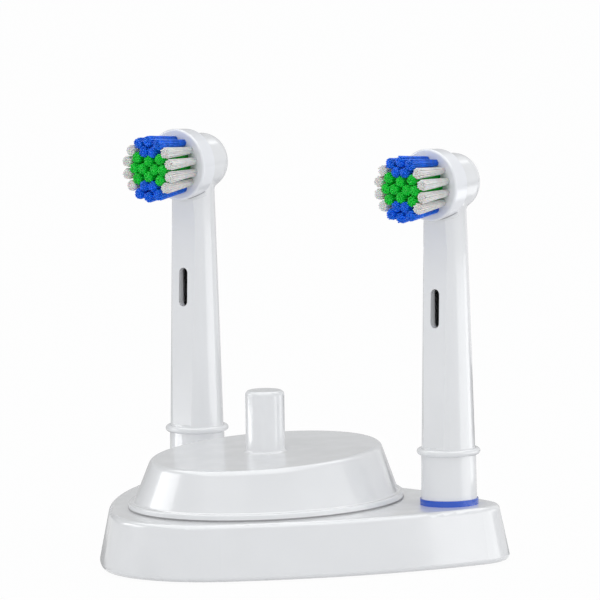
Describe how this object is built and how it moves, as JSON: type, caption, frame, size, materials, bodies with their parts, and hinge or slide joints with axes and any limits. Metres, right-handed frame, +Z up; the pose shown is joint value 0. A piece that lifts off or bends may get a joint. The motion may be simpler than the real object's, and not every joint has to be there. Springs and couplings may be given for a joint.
{
  "type": "electric toothbrush charger",
  "caption": "Oval inductive charger with an upright post, set in a low rounded-triangle stand whose back corners hold brush heads with swinging round bristle discs.",
  "frame": {"origin": "centre of the stand's footprint, on the surface it stands on", "axes": "+Z up along the post, -Y towards the stand's rounded front, +X towards the right brush head"},
  "size_m": [0.0984, 0.0818, 0.0926],
  "materials": {
    "white_plastic": "glossy moulded",
    "clear_white_plastic": "glossy moulded",
    "grey_plastic": "satin moulded",
    "dark_plastic": "satin moulded",
    "blue_plastic": "glossy moulded",
    "blue_bristle": "bundled filament",
    "green_bristle": "bundled filament",
    "white_bristle": "bundled filament",
    "foot_rubber": "matt",
    "inlet_rubber": "matt",
    "steel": "plain",
    "copper_wire": "enamelled",
    "ferrite": "matt",
    "board": "lacquered",
    "component_black": "matt"
  },
  "bodies": {
    "root": {"stand_base": "white_plastic", "stand_bottom_plate": "grey_plastic", "plate_screws": "steel", "rubber_feet": "foot_rubber", "cord_inlet": "inlet_rubber", "charger_housing": "white_plastic", "charger_lid": "grey_plastic", "circuit_board": "board", "board_screws": "steel", "coil_bobbin": "grey_plastic", "primary_winding": "copper_wire", "ferrite_core": "ferrite", "filter_capacitor": "component_black", "rectifier_block": "component_black", "dropper_resistor": "component_black", "left_colour_ring": "blue_plastic", "left_neck": "white_plastic", "left_shaft_bushes": "grey_plastic", "left_pivot_pin": "steel", "right_colour_ring": "blue_plastic", "right_neck": "white_plastic", "right_shaft_bushes": "grey_plastic", "right_pivot_pin": "steel"},
    "left_disc": {"left_bristle_disc": "clear_white_plastic", "left_blue_tufts": "blue_bristle", "left_green_tufts": "green_bristle", "left_white_tufts": "white_bristle"},
    "left_shaft": {"left_drive_shaft": "dark_plastic"},
    "right_disc": {"right_bristle_disc": "clear_white_plastic", "right_blue_tufts": "blue_bristle", "right_green_tufts": "green_bristle", "right_white_tufts": "white_bristle"},
    "right_shaft": {"right_drive_shaft": "dark_plastic"}
  },
  "joints": [
    {"name": "left_disc_swing", "type": "hinge", "parent": "root", "child": "left_disc", "pos_m": [-0.0361, 0.02251, 0.0845], "axis": [0, -1, 0], "range_deg": [-22.5, 22.5]},
    {"name": "left_shaft_swing", "type": "hinge", "parent": "root", "child": "left_shaft", "pos_m": [-0.0361, 0.02251, 0.0528], "axis": [0, 0, 1], "range_deg": [-52, 52]},
    {"name": "right_disc_swing", "type": "hinge", "parent": "root", "child": "right_disc", "pos_m": [0.0361, 0.02251, 0.0845], "axis": [0, -1, 0], "range_deg": [-22.5, 22.5]},
    {"name": "right_shaft_swing", "type": "hinge", "parent": "root", "child": "right_shaft", "pos_m": [0.0361, 0.02251, 0.0528], "axis": [0, 0, 1], "range_deg": [-52, 52]}
  ],
  "couplings": [
    {"joint": "left_shaft_swing", "follows": "left_disc_swing", "ratio": -2.3},
    {"joint": "right_shaft_swing", "follows": "right_disc_swing", "ratio": -2.3}
  ]
}
